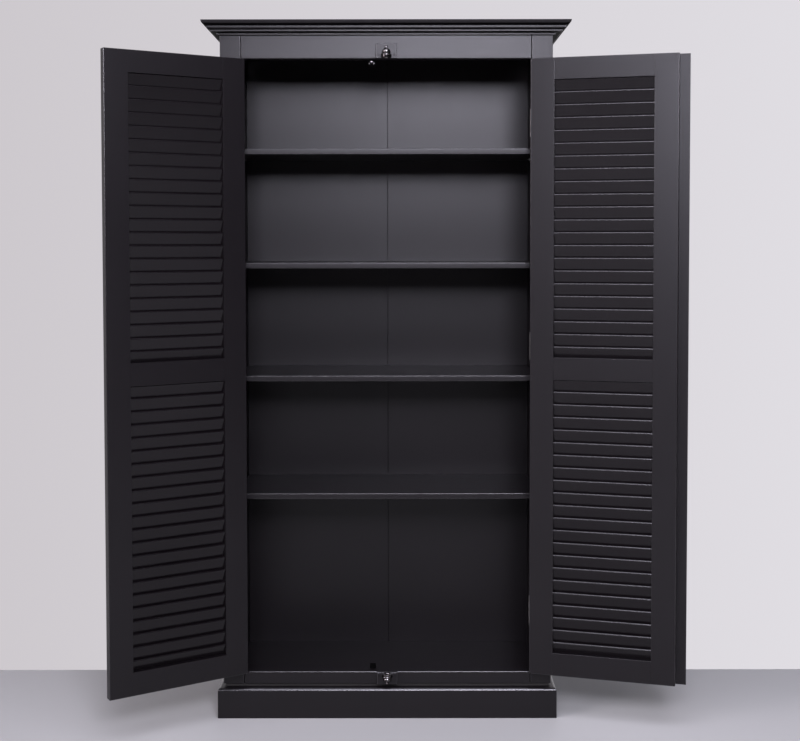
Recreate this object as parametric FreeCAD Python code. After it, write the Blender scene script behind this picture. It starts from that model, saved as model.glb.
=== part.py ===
import FreeCAD, Part
import math
import os

# Louvred door cabinet, millimetres, +Z up, the front faces -Y.
# The origin is on the floor, under the middle of the carcass.
# Both doors are drawn shut and then turned open about their hinge pins.

V = FreeCAD.Vector
os.makedirs("parts", exist_ok=True)

# Overall
body_width = 900.0
body_depth = 355.0
body_top = 1890.0
overrun = 2.0

# Base and plinth
base_height = 92.0
base_setback = 6.0
base_rail_t = 20.0
bearer_t = 18.0
plinth_drop = 8.0
plinth_projection = 15.0
plinth_round = 10.0

# Face frame and side frames
post_width = 56.0
frame_behind_door = 2.0
side_frame_t = 18.0
post_return = 50.0
bottom_rail_h = 34.0
frieze_h = 89.0
frame_arris = 3.0
side_stile_w = 60.0
side_bottom_rail_h = 88.0
frame_tenon_t = 8.0
frame_tenon_l = 28.0
frame_tenon_shoulder = 8.0
side_tenon_l = 20.0

# Carcass
wall_t = 18.0
floor_t = 18.0
top_t = 18.0
back_t = 10.0
back_recess = 33.0
back_lap = 8.0
back_vee = 0.8
housing_depth = 6.0
housing_clearance = 0.5

# Shelves and their pins
shelf_t = 16.0
shelf_behind_frame = 2.0
shelf_end_gap = 1.0
shelf_back_gap = 1.0
shelf_arris = 2.0
fixed_shelf_height_shares = [0.286, 0.471]
loose_shelf_height_shares = [0.6472, 0.824]
pin_d = 5.0
pin_grip = 9.0
pin_reach = 8.0
pin_clearance = 0.05
hole_column_front_inset = 36.0
hole_column_back_inset = 86.0

# Cornice
cornice_height = 36.0
cornice_projection = 45.0
cornice_above_body = 10.0
# Points of the section from the frieze upwards, as shares of its projection and height: a small bead under
# a soffit, a fillet, an ovolo, a second fillet, a quirk and the large ovolo. Two more entries give the middle
# of an arc that ends at the point.
cornice_outline_shares = [
    (0, 0),
    (0.111, 0),
    (0.144, 0.033, 0.134, 0.010),
    (0.144, 0.145),
    (0.178, 0.180),
    (0.500, 0.207),
    (0.522, 0.230),
    (0.522, 0.345),
    (0.545, 0.345),
    (0.700, 0.478, 0.655, 0.384),
    (0.722, 0.478),
    (0.722, 0.600),
    (0.678, 0.600),
    (0.678, 0.634),
    (0.767, 0.634),
    (1, 0.978, 0.927, 0.758),
    (1, 1),
    (0, 1),
]

# Doors
door_t = 22.0
door_gap_hinge = 2.0
door_gap_meeting = 3.0
door_gap_top = 3.0
door_gap_bottom = 4.0
left_door_open = 147.9
right_door_open = 164.6
door_stile_w = 64.0
door_top_rail_h = 58.0
door_middle_rail_h = 60.0
door_bottom_rail_h = 62.0
door_tenon_t = 8.0
door_tenon_l = 40.0
door_tenon_shoulder = 8.0

# Louvre slats
slat_count = 22
slat_w = 44.0
slat_t = 6.0
slat_tilt = 19.0
slat_housing = 7.0
slat_end_gap = 0.4
slat_fit = 0.15
slat_end_trim_share = 0.18
first_slat_rise_share = 0.09

# Hinges
hinge_height = 76.0
hinge_leaf_t = 1.8
hinge_leaf_depth = 18.0
hinge_leaf_let_in = 1.2
knuckle_d = 10.0
knuckle_face_gap = 0.5
knuckle_gap = 0.3
hinge_pin_d = 5.0
hinge_pin_clearance = 0.05
hinge_end_inset = 170.0
hinge_middle_rise = 60.0

# Meeting strip and bolt
strip_width = 50.0
strip_t = 10.0
strip_round = 3.0
strip_relief = 0.4
rod_w = 9.0
rod_standoff = 7.5
rod_clearance = 0.15
rod_tip_bevel = 2.0
knob_z = 1210.0
case_width = 46.0
case_height = 92.0
case_depth = 26.0
case_wall = 3.0
case_bevel = 5.0
guide_width = 34.0
guide_height = 16.0
guide_plate_t = 3.0
guide_wall = 3.0
guide_bevel = 2.0
guide_end_offset = 70.0
pinion_teeth = 12
pinion_module = 1.5
pinion_t = 8.0
tooth_backlash = 0.5
tooth_addendum_share = 0.75
tooth_dedendum_share = 1.15
tooth_flank_angle = 22.0
rack_bar_w = 4.0
rack_end_teeth = 1
rack_shoulder_h = 8.0
rack_shoulder_gap = 3.0
rod_travel_angle = 90.0
spindle_w = 7.0
spindle_clearance = 0.08
spindle_seat_gap = 0.5
spindle_past_pinion = 1.0
knob_neck_d = 10.5
knob_d = 36.0
knob_l = 34.0
knob_gap = 0.5
knob_sides = 8
# The knob's outline beyond the case, as shares of its radius and length
knob_outline_shares = [
    (0.46, 0),
    (0.38, 0.30),
    (0.86, 0.62),
    (1, 0.72),
    (1, 0.82),
    (0.78, 1),
]

# Keepers, their blocks and the stops of the left door
block_width = 57.0
block_t = 10.0
block_top_h = 41.0
block_arris = 2.0
keeper_rim_d = 31.0
keeper_top_h = 36.5
keeper_bottom_h = 31.5
keeper_bore_d = 13.6
keeper_bore_depth = 17.0
stop_width = 16.0
stop_t = 18.0
stop_behind_rail = 23.0
stop_reach = 14.0
stop_x = -40.0
stop_boss_d = 13.0
stop_door_gap = 0.3
# Foot, rim, waist, dome, neck and ball, as shares of the rim's radius and of the keeper's height
keeper_outline_shares = [
    (0.87, 0),
    (0.87, 0.17),
    (1, 0.21),
    (1, 0.28),
    (0.78, 0.33),
    (0.82, 0.43),
    (0.76, 0.56),
    (0.56, 0.70),
    (0.18, 0.80),
    (0.23, 0.86),
    (0.23, 0.94),
    (0, 1),
]

# Values that follow from the sizes above
half_w = body_width / 2
plinth_height = base_height - plinth_drop
face_y = -body_depth / 2
rear_y = body_depth / 2
frame_t = door_t + frame_behind_door
frame_back_y = face_y + frame_t
shelf_front_y = frame_back_y + shelf_behind_frame
opening_bottom = base_height + bottom_rail_h
opening_top = body_top - frieze_h
open_half = half_w - post_width
wall_outer = half_w - side_frame_t
wall_inner = wall_outer - wall_t
back_y = rear_y - back_recess - back_t
floor_top = base_height + floor_t
ceiling_z = body_top - top_t
clear_height = ceiling_z - floor_top
fixed_shelf_tops = [floor_top + share * clear_height for share in fixed_shelf_height_shares]
loose_shelf_tops = [floor_top + share * clear_height for share in loose_shelf_height_shares]
side_leg_end_y = frame_back_y + post_return
side_stile_y = rear_y - side_stile_w

door_bottom = opening_bottom + door_gap_bottom
door_top = opening_top - door_gap_top
door_edge = open_half - door_gap_hinge
meeting_edge = door_gap_meeting / 2
door_back_y = face_y + door_t
hinge_x = open_half - door_gap_hinge / 2
hinge_y = face_y - knuckle_d / 2 - knuckle_face_gap
panel_height = (door_top - door_bottom - door_top_rail_h - door_middle_rail_h - door_bottom_rail_h) / 2
lower_panel_z = door_bottom + door_bottom_rail_h
upper_panel_z = lower_panel_z + panel_height + door_middle_rail_h
door_middle_z = (door_bottom + door_top) / 2
hinge_heights = [
    door_bottom + hinge_end_inset,
    door_middle_z + hinge_middle_rise,
    door_top - hinge_end_inset,
]
slat_pitch = panel_height / (slat_count - slat_end_trim_share)

strip_front_y = face_y - strip_t
rod_y = strip_front_y - rod_standoff - rod_w / 2
case_front_y = strip_front_y - case_depth
pinion_r = pinion_module * pinion_teeth / 2
tooth_pitch = math.pi * pinion_module
addendum = pinion_module * tooth_addendum_share
dedendum = pinion_module * tooth_dedendum_share
keeper_y = rod_y


def box(x0, x1, y0, y1, z0, z1):
    """A block between two opposite corners, given in any order."""
    low = V(min(x0, x1), min(y0, y1), min(z0, z1))
    return Part.makeBox(abs(x1 - x0), abs(y1 - y0), abs(z1 - z0), low)


def prism(points, along):
    """A flat outline of straight edges, carried along a vector."""
    return Part.Face(Part.makePolygon(points + [points[0]])).extrude(along)


def rod(diameter, length, base, along):
    return Part.makeCylinder(diameter / 2, length, base, along)


def turned(outline, base, axis):
    """A solid of revolution from (radius, height) points."""
    points = [V(radius, 0, height) for radius, height in outline]
    solid = Part.Face(Part.makePolygon(points + [points[0]])).revolve(V(0, 0, 0), V(0, 0, 1), 360)
    solid.Placement = FreeCAD.Placement(base, FreeCAD.Rotation(V(0, 0, 1), axis))
    return solid


def group(solids):
    return Part.makeCompound(solids)


def open_left(shape):
    shape.rotate(V(-hinge_x, hinge_y, 0), V(0, 0, 1), -left_door_open)
    return shape


def open_right(shape):
    shape.rotate(V(hinge_x, hinge_y, 0), V(0, 0, 1), right_door_open)
    return shape


def save(name, shape):
    shape.exportStep("parts/" + name + ".step")


# Mouldings
def moulding_face(segments, place):
    """A closed face from an outline of (projection, height) points, with arcs where a middle is given."""
    edges = []
    for here, there in zip(segments, segments[1:] + segments[:1]):
        if len(there) > 2:
            middle = place(there[2], there[3])
            edges.append(Part.Arc(place(here[0], here[1]), middle, place(there[0], there[1])).toShape())
        else:
            edges.append(Part.LineSegment(place(here[0], here[1]), place(there[0], there[1])).toShape())
    return Part.Face(Part.Wire(edges))


def front_length(segments, reach):
    run = 2 * (half_w + reach)
    face = moulding_face(segments, lambda p, z: V(-half_w - reach, face_y - p, z))
    return face.extrude(V(run, 0, 0))


def side_length(segments, side, reach):
    run = body_depth + reach
    face = moulding_face(segments, lambda p, z: V(side * (half_w + p), face_y - reach, z))
    return face.extrude(V(0, run, 0))


def mitred_length(side, outline, reach):
    """The front length of a moulding (side 0) or one side length, cut at the front mitres."""
    out = half_w + reach
    inner = half_w - base_setback
    inner_y = face_y + base_setback
    if side == 0:
        moulding = front_length(outline, reach)
        plan = [(-inner, inner_y), (inner, inner_y), (out, face_y - reach), (-out, face_y - reach)]
    else:
        moulding = side_length(outline, side, reach)
        plan = [(inner, inner_y), (inner, rear_y), (out, rear_y), (out, face_y - reach)]
        plan = [(side * x, y) for x, y in plan]
    heights = [point[1] for point in outline]
    foot = min(heights)
    return moulding.common(prism([V(x, y, foot) for x, y in plan], V(0, 0, max(heights) - foot)))


# Base
def plinth_outline():
    round_middle = plinth_round * (1 - math.sqrt(0.5))
    return [
        (-base_setback, 0),
        (plinth_projection, 0),
        (plinth_projection, plinth_height - plinth_round),
        (
            plinth_projection - plinth_round,
            plinth_height,
            plinth_projection - round_middle,
            plinth_height - round_middle,
        ),
        (-base_setback, plinth_height),
    ]


def base():
    front_y = face_y + base_setback
    side_x = half_w - base_setback
    inner_y0 = front_y + base_rail_t
    inner_y1 = rear_y - base_rail_t
    save("base_front_rail", box(-side_x, side_x, front_y, inner_y0, 0, base_height))
    save("base_back_rail", box(-side_x, side_x, inner_y1, rear_y, 0, base_height))
    for side, name in ((-1, "left"), (1, "right")):
        rail = box(side * side_x, side * (side_x - base_rail_t), inner_y0, inner_y1, 0, base_height)
        save("base_side_rail_" + name, rail)
    save("base_centre_bearer", box(-bearer_t / 2, bearer_t / 2, inner_y0, inner_y1, 0, base_height))
    for side, name in ((0, "front"), (-1, "left"), (1, "right")):
        save("plinth_" + name, mitred_length(side, plinth_outline(), plinth_projection))


# Face frame, posts and side frames
def hinge_pocket(side, on_door):
    """The shallow recesses that the three hinge leaves of one side are let into."""
    edge = door_edge if on_door else open_half
    deep = edge - hinge_leaf_let_in if on_door else edge + hinge_leaf_let_in
    past = edge + overrun if on_door else edge - overrun
    back = face_y + hinge_leaf_depth
    half = hinge_height / 2
    return [box(side * past, side * deep, face_y - overrun, back, z - half, z + half) for z in hinge_heights]


def rail_tenon_z(z0, z1, shoulder):
    return z0 + shoulder, z1 - shoulder


def frame_tenon(side, z0, z1):
    """The tenon of a front rail inside one corner post."""
    low, high = rail_tenon_z(z0, z1, frame_tenon_shoulder)
    middle = face_y + frame_t / 2
    ends = (side * open_half, side * (open_half + frame_tenon_l))
    return box(ends[0], ends[1], middle - frame_tenon_t / 2, middle + frame_tenon_t / 2, low, high)


def side_rail_levels():
    return (("top", opening_top, body_top), ("bottom", base_height, base_height + side_bottom_rail_h))


def side_tenons(side, z0, z1):
    """The two tenons at the ends of one rail of a side frame."""
    low, high = rail_tenon_z(z0, z1, frame_tenon_shoulder)
    middle = half_w - side_frame_t / 2
    x0 = side * (middle - frame_tenon_t / 2)
    x1 = side * (middle + frame_tenon_t / 2)
    front = box(x0, x1, side_leg_end_y - side_tenon_l, side_leg_end_y, low, high)
    back = box(x0, x1, side_stile_y, side_stile_y + side_tenon_l, low, high)
    return front, back


def corner_post(side):
    """The front corner: a face stile with a return along the side, in one L section."""
    plan = [
        (open_half, face_y),
        (half_w, face_y),
        (half_w, side_leg_end_y),
        (wall_outer, side_leg_end_y),
        (wall_outer, frame_back_y),
        (open_half, frame_back_y),
    ]
    post = prism([V(side * x, y, base_height) for x, y in plan], V(0, 0, body_top - base_height))
    for z0, z1 in ((opening_top, body_top), (base_height, opening_bottom)):
        post = post.cut(frame_tenon(side, z0, z1))
    for _, z0, z1 in side_rail_levels():
        post = post.cut(side_tenons(side, z0, z1)[0])
    return post.cut(group(hinge_pocket(side, False)))


def front_rail(z0, z1, eased_z, inward):
    """A rail between the posts, with an eased arris along the opening."""
    section = [
        V(-open_half, face_y, z0 + z1 - eased_z),
        V(-open_half, frame_back_y, z0 + z1 - eased_z),
        V(-open_half, frame_back_y, eased_z),
        V(-open_half, face_y + frame_arris, eased_z),
        V(-open_half, face_y, eased_z + inward * frame_arris),
    ]
    rail = prism(section, V(2 * open_half, 0, 0))
    return rail.fuse([frame_tenon(s, z0, z1) for s in (-1, 1)]).removeSplitter()


def frames():
    for side, name in ((-1, "left"), (1, "right")):
        save("corner_post_" + name, corner_post(side))
        stile = box(side * wall_outer, side * half_w, side_stile_y, rear_y, base_height, body_top)
        for level, z0, z1 in side_rail_levels():
            tenons = side_tenons(side, z0, z1)
            stile = stile.cut(tenons[1])
            rail = box(side * wall_outer, side * half_w, side_leg_end_y, side_stile_y, z0, z1)
            save("side_" + level + "_rail_" + name, rail.fuse(list(tenons)).removeSplitter())
        save("side_rear_stile_" + name, stile)
    save("frieze_rail", front_rail(opening_top, body_top, opening_top, 1))
    save("bottom_rail", front_rail(base_height, opening_bottom, opening_bottom, -1))


# Carcass
def housed_board(z0, z1, front_y, end_y):
    """A board whose ends are let into both walls."""
    end = wall_inner + housing_depth
    return box(-end, end, front_y, end_y, z0, z1)


def pin_height(shelf_top):
    return shelf_top - shelf_t - pin_d / 2


def hole_columns():
    return (frame_back_y + hole_column_front_inset, back_y - hole_column_back_inset)


def wall(side):
    """A plain carcass wall with its housings, the groove for the back and the drilled pin holes."""
    board = box(side * wall_inner, side * wall_outer, frame_back_y, rear_y, base_height, body_top)
    groove_x = (side * (wall_inner - overrun), side * (wall_inner + housing_depth))
    cuts = [box(groove_x[0], groove_x[1], back_y, back_y + back_t, floor_top, ceiling_z)]
    cuts += [housed_board(*level) for _, *level in housed_levels()]
    drill = pin_d + 2 * pin_clearance
    for y in hole_columns():
        for top in loose_shelf_tops:
            mouth = V(side * (wall_inner - overrun), y, pin_height(top))
            cuts.append(rod(drill, pin_grip + overrun, mouth, V(side, 0, 0)))
    return board.cut(group(cuts))


def housed_levels():
    levels = [
        ("floor_panel", base_height, floor_top, frame_back_y, rear_y),
        ("top_panel", ceiling_z, body_top, frame_back_y, rear_y),
    ]
    for number, top in enumerate(fixed_shelf_tops, 1):
        levels.append(("fixed_shelf_%d" % number, top - shelf_t, top, shelf_front_y, back_y))
    return levels


def back_board(side):
    """One of the two boards of the back, half lapped at the middle, with a vee along the seam."""
    edge = side * (wall_inner + housing_depth - housing_clearance)
    lap_y = back_y + back_t / 2
    plan = [
        (edge, back_y),
        (side * back_vee, back_y),
        (0, back_y + back_vee),
        (0, lap_y),
        (back_lap, lap_y),
        (back_lap, back_y + back_t),
        (edge, back_y + back_t),
    ]
    return prism([V(x, y, floor_top) for x, y in plan], V(0, 0, ceiling_z - floor_top))


def loose_shelf(top):
    end = wall_inner - shelf_end_gap
    front = shelf_front_y
    back = back_y - shelf_back_gap
    section = [
        V(-end, back, top),
        V(-end, back, top - shelf_t),
        V(-end, front, top - shelf_t),
        V(-end, front, top - shelf_arris),
        V(-end, front + shelf_arris, top),
    ]
    return prism(section, V(2 * end, 0, 0))


def shelf_pins():
    pins = []
    for top in loose_shelf_tops:
        for y in hole_columns():
            for side in (-1, 1):
                tip = V(side * (wall_inner - pin_reach), y, pin_height(top))
                pins.append(rod(pin_d, pin_reach + pin_grip, tip, V(side, 0, 0)))
    return group(pins)


def carcass():
    for side, name in ((-1, "left"), (1, "right")):
        save("carcass_wall_" + name, wall(side))
        save("back_board_" + name, back_board(side))
    for name, *level in housed_levels():
        save(name, housed_board(*level))
    for number, top in enumerate(loose_shelf_tops, 1):
        save("loose_shelf_%d" % number, loose_shelf(top))
    save("shelf_pins", shelf_pins())


# Cornice
def cornice_outline():
    """The section as (projection, height) points, with the middle of each arc."""
    base_z = body_top + cornice_above_body - cornice_height
    points = []
    for shares in cornice_outline_shares:
        outward = [share * cornice_projection for share in shares[0::2]]
        upward = [base_z + share * cornice_height for share in shares[1::2]]
        points.append([place for pair in zip(outward, upward) for place in pair])
    return points


def cornice():
    for side, name in ((0, "front"), (-1, "left"), (1, "right")):
        save("cornice_" + name, mitred_length(side, cornice_outline(), cornice_projection))


# Louvred doors
def slat_outline(z_top, grow):
    """A slat's section, leaning so that its inner edge is high and its outer edge is low."""
    tilt = math.radians(slat_tilt)
    along = V(0, math.sin(tilt), math.cos(tilt)) * (slat_w / 2 + grow)
    across = V(0, math.cos(tilt), -math.sin(tilt)) * (slat_t / 2 + grow)
    drop = slat_w / 2 * math.cos(tilt) + slat_t / 2 * math.sin(tilt)
    centre = V(0, face_y + door_t / 2, z_top - drop)
    return [centre + along * a + across * b for a, b in ((1, 1), (1, -1), (-1, -1), (-1, 1))]


def slats(side, panel_z, grow, end_x):
    """The leaning slats of one panel, trimmed level with the rails above and below."""
    inner = door_edge - door_stile_w + end_x
    outer = meeting_edge + door_stile_w - end_x
    panel_top = panel_z + panel_height
    window = box(side * inner, side * outer, face_y, door_back_y, panel_z, panel_top)
    solids = []
    for n in range(slat_count):
        z_top = panel_top + first_slat_rise_share * slat_pitch - n * slat_pitch
        points = [V(side * outer, p.y, p.z) for p in slat_outline(z_top, grow)]
        solids.append(prism(points, V(side * (inner - outer), 0, 0)).common(window).Solids[0])
    return solids


def door_rail_levels():
    return (
        ("bottom", door_bottom, lower_panel_z),
        ("middle", lower_panel_z + panel_height, upper_panel_z),
        ("top", door_top - door_top_rail_h, door_top),
    )


def door_tenon(side, stile_inner, outward, z0, z1):
    low, high = rail_tenon_z(z0, z1, door_tenon_shoulder)
    middle = face_y + door_t / 2
    ends = (side * stile_inner, side * (stile_inner + outward * door_tenon_l))
    return box(ends[0], ends[1], middle - door_tenon_t / 2, middle + door_tenon_t / 2, low, high)


def louvred_door(side, name, opened):
    """One door: two stiles, three tenoned rails and two panels of housed slats."""
    hinge_inner = door_edge - door_stile_w
    meeting_inner = meeting_edge + door_stile_w
    housings = []
    for panel_z in (lower_panel_z, upper_panel_z):
        housings += slats(side, panel_z, slat_fit, slat_housing)
    cuts = list(housings)
    for level, z0, z1 in door_rail_levels():
        tenons = [door_tenon(side, hinge_inner, 1, z0, z1), door_tenon(side, meeting_inner, -1, z0, z1)]
        cuts += tenons
        rail = box(side * hinge_inner, side * meeting_inner, face_y, door_back_y, z0, z1)
        save(name + "_door_" + level + "_rail", opened(rail.fuse(tenons).removeSplitter()))
    hinge_stile = box(side * hinge_inner, side * door_edge, face_y, door_back_y, door_bottom, door_top)
    hinge_stile = hinge_stile.cut(group(cuts + hinge_pocket(side, True)))
    save(name + "_door_hinge_stile", opened(hinge_stile))
    meeting_stile = box(side * meeting_edge, side * meeting_inner, face_y, door_back_y, door_bottom, door_top)
    save(name + "_door_meeting_stile", opened(meeting_stile.cut(group(cuts))))
    for level, panel_z in (("lower", lower_panel_z), ("upper", upper_panel_z)):
        panel = slats(side, panel_z, 0, slat_housing - slat_end_gap)
        save(name + "_door_" + level + "_slats", opened(group(panel)))


# Hinges
def hinge_leaf(side, z, on_door):
    """A lift-off hinge's leaf, let into the wood: the frame's knuckle holds the pin, the door's is bored."""
    low = z - hinge_height / 2
    top = z + hinge_height / 2
    axis = V(side * hinge_x, hinge_y, 0)
    if on_door:
        deep = door_edge - hinge_leaf_let_in
        x0, x1 = side * deep, side * (deep + hinge_leaf_t)
        z0, z1 = z + knuckle_gap / 2, top
    else:
        deep = open_half + hinge_leaf_let_in
        x0, x1 = side * deep, side * (deep - hinge_leaf_t)
        z0, z1 = low, z - knuckle_gap / 2
    plate = box(x0, x1, face_y, face_y + hinge_leaf_depth, low, top)
    web = box(x0, x1, hinge_y, face_y, z0, z1)
    knuckle = rod(knuckle_d, z1 - z0, axis + V(0, 0, z0), V(0, 0, 1))
    leaf = plate.fuse([web, knuckle])
    if on_door:
        bore = hinge_pin_d + 2 * hinge_pin_clearance
        leaf = leaf.cut(rod(bore, z1 - z0 + 2 * overrun, axis + V(0, 0, z0 - overrun), V(0, 0, 1)))
    else:
        leaf = leaf.fuse(rod(hinge_pin_d, top - z1, axis + V(0, 0, z1), V(0, 0, 1)))
    return leaf.removeSplitter()


def hinges():
    places = [(side, z) for side in (-1, 1) for z in hinge_heights]
    save("hinge_frame_leaves", group([hinge_leaf(side, z, False) for side, z in places]))
    save("left_hinge_door_leaves", open_left(group([hinge_leaf(-1, z, True) for z in hinge_heights])))
    save("right_hinge_door_leaves", open_right(group([hinge_leaf(1, z, True) for z in hinge_heights])))


# Meeting strip and bolt, drawn on the shut right door
def meeting_strip():
    """A cover strip on the right door that laps the left one, relieved where it laps."""
    half = strip_width / 2
    middle = strip_round * (1 - math.sqrt(0.5))
    front = strip_front_y

    def at(x, y):
        return V(x, y, door_bottom)

    right = (at(half, front + strip_round), at(half - middle, front + middle), at(half - strip_round, front))
    left = (at(strip_round - half, front), at(middle - half, front + middle), at(-half, front + strip_round))
    lap = face_y - strip_relief
    back = [at(-half, lap), at(meeting_edge, lap), at(meeting_edge, face_y), at(half, face_y)]
    edges = [Part.Arc(*right), Part.LineSegment(right[2], left[0]), Part.Arc(*left)]
    for start, end in zip([left[2]] + back, back + [right[0]]):
        edges.append(Part.LineSegment(start, end))
    outline = Part.Face(Part.Wire([edge.toShape() for edge in edges]))
    return outline.extrude(V(0, 0, door_top - door_bottom))


def rod_passage(z0, z1):
    """The clear way of a rod, open towards the strip."""
    half = rod_w / 2 + rod_clearance
    return box(-half, half, rod_y - half, strip_front_y + overrun, z0 - overrun, z1 + overrun)


def rod_guide(z):
    """A staple over a rod, with two feet on the strip."""
    low, high = z - guide_height / 2, z + guide_height / 2
    foot = guide_width / 2
    half = rod_w / 2 + guide_wall
    front = rod_y - half
    foot_y = strip_front_y - guide_plate_t
    plan = [
        (foot, strip_front_y),
        (foot, foot_y),
        (half, foot_y),
        (half, front + guide_bevel),
        (half - guide_bevel, front),
    ]
    plan += [(-x, y) for x, y in reversed(plan)]
    staple = prism([V(x, y, low) for x, y in plan], V(0, 0, guide_height))
    return staple.cut(rod_passage(low, high))


def guide_heights():
    """One near each end of the door, and one half way down the long lower rod."""
    lowest = door_bottom + guide_end_offset
    return lowest, (lowest + knob_z - case_height / 2) / 2, door_top - guide_end_offset


def bolt_case():
    """A hollow cover over the racks and the pinion, open towards the strip."""
    half = case_width / 2
    low = knob_z - case_height / 2
    high = knob_z + case_height / 2
    shell = box(-half, half, case_front_y, strip_front_y, low, high)
    rims = [e for e in shell.Edges if e.BoundBox.YMax - case_front_y < overrun / 2]
    shell = shell.makeChamfer(case_bevel, rims)
    cavity = box(case_wall - half, half - case_wall, case_front_y + case_wall, strip_front_y + overrun,
                 low + case_wall, high - case_wall)
    eye = rod(knob_neck_d + 2 * spindle_clearance, case_wall + 2 * overrun,
              V(0, case_front_y - overrun, knob_z), V(0, 1, 0))
    return shell.cut(group([cavity, rod_passage(low, high), eye]))


def pinion():
    """A straight-flanked pinion on the square spindle, whose gaps face both racks at rest."""
    tip = pinion_r + addendum
    root = pinion_r - dedendum
    half_angle = (tooth_pitch / 2 - tooth_backlash) / 2 / pinion_r
    slope = math.tan(math.radians(tooth_flank_angle))
    tip_angle = half_angle - addendum * slope / pinion_r
    root_angle = half_angle + dedendum * slope / pinion_r / 2
    points = []
    for n in range(pinion_teeth):
        middle = (n + 0.5) * 2 * math.pi / pinion_teeth
        for radius, angle in ((root, -root_angle), (tip, -tip_angle), (tip, tip_angle), (root, root_angle)):
            turn = middle + angle
            points.append(V(radius * math.cos(turn), rod_y - pinion_t / 2, knob_z + radius * math.sin(turn)))
    half = spindle_w / 2 + spindle_clearance
    reach = pinion_t / 2 + overrun
    socket = box(-half, half, rod_y - reach, rod_y + reach, knob_z - half, knob_z + half)
    return prism(points, V(0, pinion_t, 0)).cut(socket)


def rack(up):
    """The toothed bar of one rod: beside the pinion on +X, or half a turn round for the lower rod."""
    half_tooth = (tooth_pitch / 2 - tooth_backlash) / 2
    slope = math.tan(math.radians(tooth_flank_angle))
    travel_teeth = round(pinion_teeth * rod_travel_angle / 360) + rack_end_teeth
    face_x = pinion_r + dedendum
    tip_x = pinion_r - addendum
    low = -(travel_teeth + 0.5) * tooth_pitch
    high = pinion_r + addendum + rack_shoulder_gap
    points = [(face_x + rack_bar_w, high), (face_x + rack_bar_w, low), (face_x, low)]
    for n in range(-travel_teeth, rack_end_teeth + 1):
        middle = n * tooth_pitch
        base = half_tooth + dedendum * slope
        crest = half_tooth - addendum * slope
        points += [(face_x, middle - base), (tip_x, middle - crest)]
        points += [(tip_x, middle + crest), (face_x, middle + base)]
    points.append((face_x, high))
    placed = [V(up * x, rod_y - pinion_t / 2, knob_z + up * z) for x, z in points]
    bar = prism(placed, V(0, pinion_t, 0))
    shoulder = box(-up * rod_w / 2, up * (face_x + rack_bar_w), rod_y - pinion_t / 2, rod_y + pinion_t / 2,
                   knob_z + up * high, knob_z + up * (high + rack_shoulder_h))
    return bar.fuse(shoulder), knob_z + up * (high + rack_shoulder_h)


def bolt_rod(up):
    """A square rod with a bevelled tip that ends level with the door when drawn back."""
    toothed, start = rack(up)
    end = door_top if up > 0 else door_bottom
    half = rod_w / 2
    bar = box(-half, half, rod_y - half, rod_y + half, start, end)
    tip = [e for e in bar.Edges if abs(e.BoundBox.ZMin - end) + abs(e.BoundBox.ZMax - end) < overrun]
    return bar.makeChamfer(rod_tip_bevel, tip).fuse(toothed).removeSplitter()


def faceted(outline, sides, base, axis):
    """A solid of flat facets from (radius, height) points, where the radius is to the middle of a facet."""
    corner_share = 1 / math.cos(math.pi / sides)
    turns = [(n + 0.5) * 2 * math.pi / sides for n in range(sides)]
    rings = []
    for radius, height in outline:
        reach = radius * corner_share
        rings.append([V(reach * math.cos(turn), reach * math.sin(turn), height) for turn in turns])
    outlines = [list(reversed(rings[0])), rings[-1]]
    for lower, upper in zip(rings, rings[1:]):
        for n in range(sides):
            outlines.append([lower[n - 1], lower[n], upper[n], upper[n - 1]])
    faces = [Part.Face(Part.makePolygon(points + [points[0]])) for points in outlines]
    solid = Part.Solid(Part.Shell(faces))
    solid.Placement = FreeCAD.Placement(base, FreeCAD.Rotation(V(0, 0, 1), axis))
    return solid


def bolt_knob():
    """An eight-sided knob whose neck turns in the case's eye, on a square spindle for the pinion."""
    spindle_end = strip_front_y - spindle_seat_gap
    shoulder_y = rod_y - pinion_t / 2 - spindle_past_pinion
    foot_y = case_front_y - knob_gap
    half = spindle_w / 2
    spindle = box(-half, half, spindle_end, shoulder_y, knob_z - half, knob_z + half)
    neck = rod(knob_neck_d, shoulder_y - foot_y, V(0, shoulder_y, knob_z), V(0, -1, 0))
    outline = [(r * knob_d / 2, h * knob_l) for r, h in knob_outline_shares]
    return faceted(outline, knob_sides, V(0, foot_y, knob_z), V(0, -1, 0)).fuse([neck, spindle])


def bolt():
    save("meeting_strip", open_right(meeting_strip()))
    save("rod_guides", open_right(group([rod_guide(z) for z in guide_heights()])))
    save("bolt_case", open_right(bolt_case()))
    save("bolt_pinion", open_right(pinion()))
    save("bolt_knob", open_right(bolt_knob()))
    save("upper_rod", open_right(bolt_rod(1)))
    save("lower_rod", open_right(bolt_rod(-1)))


# Keepers and door stops
def keeper_block(z0, z1):
    """A pad on the rail that brings the keeper out to the line of the rods."""
    half = block_width / 2
    front = face_y - block_t
    plan = [
        V(-half, face_y, z0),
        V(half, face_y, z0),
        V(half, front + block_arris, z0),
        V(half - block_arris, front, z0),
        V(block_arris - half, front, z0),
        V(-half, front + block_arris, z0),
    ]
    return prism(plan, V(0, 0, z1 - z0))


def keeper(mouth_z, up, height):
    """A turned bell with a rim, a dome and a ball on top, flat where it is screwed to its block."""
    bore = keeper_bore_d / 2
    outline = [(r * keeper_rim_d / 2, z * height) for r, z in keeper_outline_shares]
    bell = turned([(bore, 0)] + outline + [(0, keeper_bore_depth), (bore, keeper_bore_depth)],
                  V(0, keeper_y, mouth_z), V(0, 0, up))
    seat = box(-keeper_rim_d, keeper_rim_d, face_y - block_t, face_y + keeper_rim_d,
               mouth_z - up * overrun, mouth_z + up * (height + overrun))
    return bell.cut(seat)


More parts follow.
